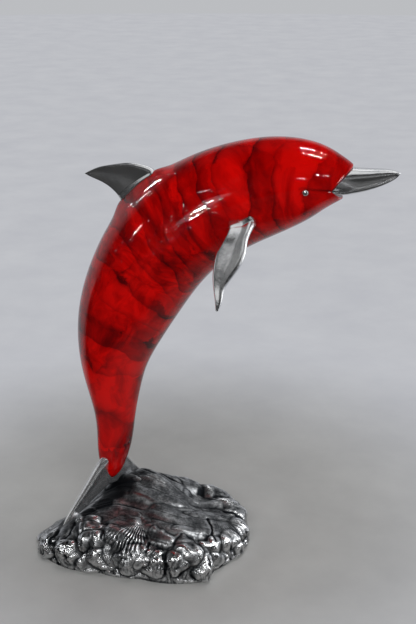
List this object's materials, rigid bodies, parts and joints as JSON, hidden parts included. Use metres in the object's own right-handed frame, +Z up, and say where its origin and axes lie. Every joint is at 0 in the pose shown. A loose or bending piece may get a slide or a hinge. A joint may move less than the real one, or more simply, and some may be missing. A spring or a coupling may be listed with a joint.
{
  "type": "dolphin ornament",
  "caption": "Leaping dolphin ornament on a rough cast rock, with an enamelled body and bare metal beak, dorsal fin, flippers, flukes and eyes.",
  "frame": {"origin": "middle of the rock's flat underside, which rests on the surface the ornament stands on", "axes": "+Z up; +X is the way the dolphin heads; its right side faces -Y"},
  "size_m": [0.3541, 0.2242, 0.4305],
  "materials": {
    "red_enamel": "thick high-gloss red enamel with smoky dark red veins across the body",
    "polished_aluminium": "hand-polished cast aluminium, softly mirror-like",
    "blackened_aluminium": "cast aluminium, polished on the high places and black in the crevices"
  },
  "bodies": {
    "root": {"rock_base": "blackened_aluminium", "dolphin_body": "red_enamel", "beak": "polished_aluminium", "dorsal_fin": "polished_aluminium", "right_flipper": "polished_aluminium", "left_flipper": "polished_aluminium", "tail_flukes": "polished_aluminium", "right_eye": "polished_aluminium", "left_eye": "polished_aluminium"}
  },
  "joints": []
}
